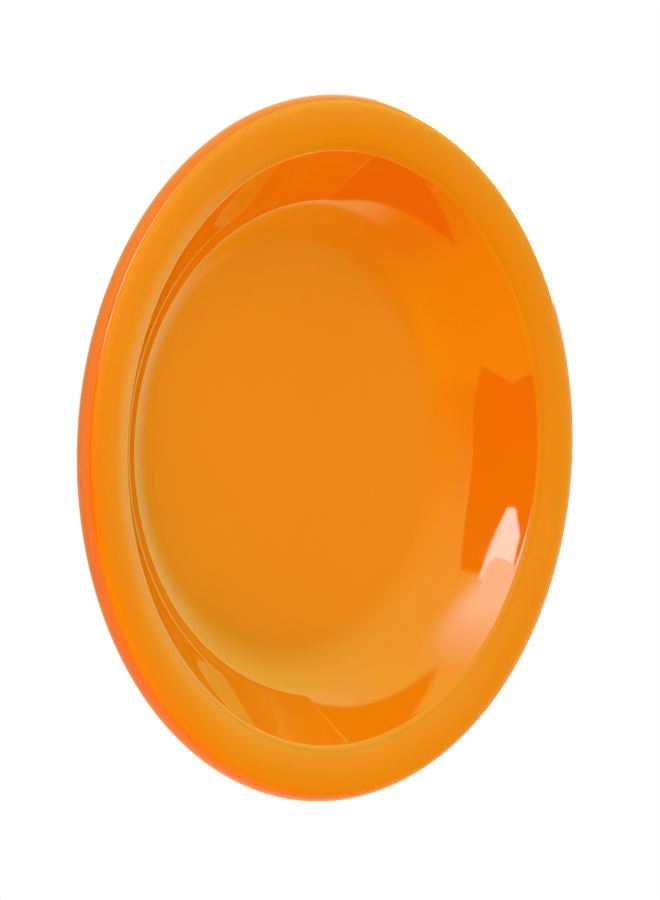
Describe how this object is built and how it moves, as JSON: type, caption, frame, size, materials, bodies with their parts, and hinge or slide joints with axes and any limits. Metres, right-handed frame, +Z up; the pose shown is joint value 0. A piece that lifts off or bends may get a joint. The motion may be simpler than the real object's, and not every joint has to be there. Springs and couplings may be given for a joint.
{
  "type": "flying disc",
  "caption": "Glossy orange flying disc with a shallow dome, a wide rounded rim and a dished hollow underneath, for throwing and catching on a lawn.",
  "frame": {"origin": "on the disc's axis, in the plane that the rim's land rests on", "axes": "+Z up along the disc's axis, out of the domed side, as the disc lies and flies; the hollow side faces -Z; X and Y lie in the rest plane, and the disc is round, so their direction is free"},
  "size_m": [0.216, 0.216, 0.0266],
  "materials": {
    "flight_plate_plastic": "glossy, slightly translucent soft orange plastic",
    "rim_plastic": "glossy, slightly translucent soft orange plastic, the same as the flight plate"
  },
  "bodies": {
    "root": {"flight_plate": "flight_plate_plastic", "rim": "rim_plastic"}
  },
  "joints": []
}
